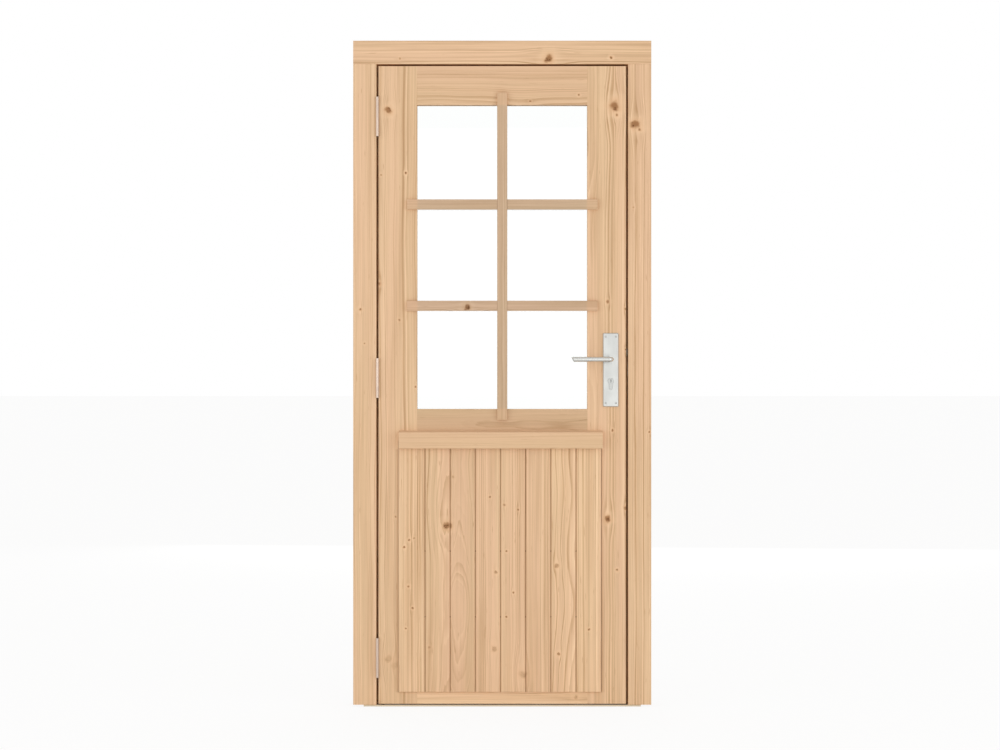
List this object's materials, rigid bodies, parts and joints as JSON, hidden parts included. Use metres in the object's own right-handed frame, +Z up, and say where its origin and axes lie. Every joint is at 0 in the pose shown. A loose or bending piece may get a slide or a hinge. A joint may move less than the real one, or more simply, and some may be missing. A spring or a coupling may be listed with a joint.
{
  "type": "glazed timber door with frame",
  "caption": "Outward-opening timber door with a glazed, latticed upper half over a boarded panel, hung on lift-off hinges in a grooved wall frame, with a lever lock.",
  "frame": {"origin": "middle of the threshold's underside, in the middle of the frame's depth", "axes": "+X across the door towards the lock, +Y from outside to inside, +Z up"},
  "size_m": [0.853, 0.15, 1.905],
  "materials": {
    "pine": "planed, clear",
    "hinge_steel": "satin zinc",
    "satin_steel": "satin",
    "zinc_steel": "zinc plated",
    "nickel": "satin nickel",
    "aluminium": "mill",
    "clear_glass": "clear float",
    "tape": "matt"
  },
  "bodies": {
    "frame": {"head": "pine", "hinge_jamb": "pine", "lock_jamb": "pine", "threshold": "aluminium", "strike_plate": "satin_steel", "hinge_frame_half_lower": "hinge_steel", "hinge_frame_half_middle": "hinge_steel", "hinge_frame_half_upper": "hinge_steel"},
    "leaf": {"hinge_stile": "pine", "lock_stile": "pine", "top_rail": "pine", "middle_rail": "pine", "bottom_rail": "pine", "drip_bar": "pine", "lattice_upright": "pine", "lattice_bar_upper": "pine", "lattice_bar_lower": "pine", "glazing_bead_top": "pine", "glazing_bead_bottom": "pine", "glazing_bead_left": "pine", "glazing_bead_right": "pine", "board_1": "pine", "board_2": "pine", "board_3": "pine", "board_4": "pine", "board_5": "pine", "board_6": "pine", "board_7": "pine", "board_8": "pine", "hinge_leaf_half_lower": "hinge_steel", "hinge_leaf_half_middle": "hinge_steel", "hinge_leaf_half_upper": "hinge_steel", "outer_backplate": "satin_steel", "inner_backplate": "satin_steel", "lock_forend": "satin_steel", "lock_case": "zinc_steel", "cylinder_body": "nickel", "glass_pane": "clear_glass", "glazing_tape": "tape"},
    "latch": {"latch_bolt": "zinc_steel"},
    "dead_bolt": {"dead_bolt": "zinc_steel"},
    "plug": {"outer_plug": "nickel", "inner_plug": "nickel", "cylinder_cam": "nickel"},
    "handle": {"outer_lever": "satin_steel", "inner_lever": "satin_steel", "spindle": "zinc_steel", "follower": "zinc_steel"}
  },
  "joints": [
    {"name": "leaf_swing", "type": "hinge", "parent": "frame", "child": "leaf", "pos_m": [-0.357, -0.048, 0.95], "axis": [0, 0, -1], "range_deg": [0, 160]},
    {"name": "handle_turn", "type": "hinge", "parent": "leaf", "child": "handle", "pos_m": [0.3105, -0.0235, 0.993], "axis": [0, -1, 0], "range_deg": [0, 35], "stiffness_Nm_per_rad": 2, "springref_deg": -17.19},
    {"name": "latch_slide", "type": "slide", "parent": "leaf", "child": "latch", "axis": [-1, 0, 0], "range_m": [0, 0.006]},
    {"name": "plug_turn", "type": "hinge", "parent": "leaf", "child": "plug", "pos_m": [0.3105, -0.0235, 0.931], "axis": [0, 1, 0], "range_deg": [0, 360]},
    {"name": "bolt_slide", "type": "slide", "parent": "leaf", "child": "dead_bolt", "axis": [1, 0, 0], "range_m": [0, 0.014]}
  ],
  "couplings": [
    {"joint": "latch_slide", "follows": "handle_turn", "m_per_rad": 0.0098},
    {"joint": "bolt_slide", "follows": "plug_turn", "m_per_rad": 0.0022}
  ]
}
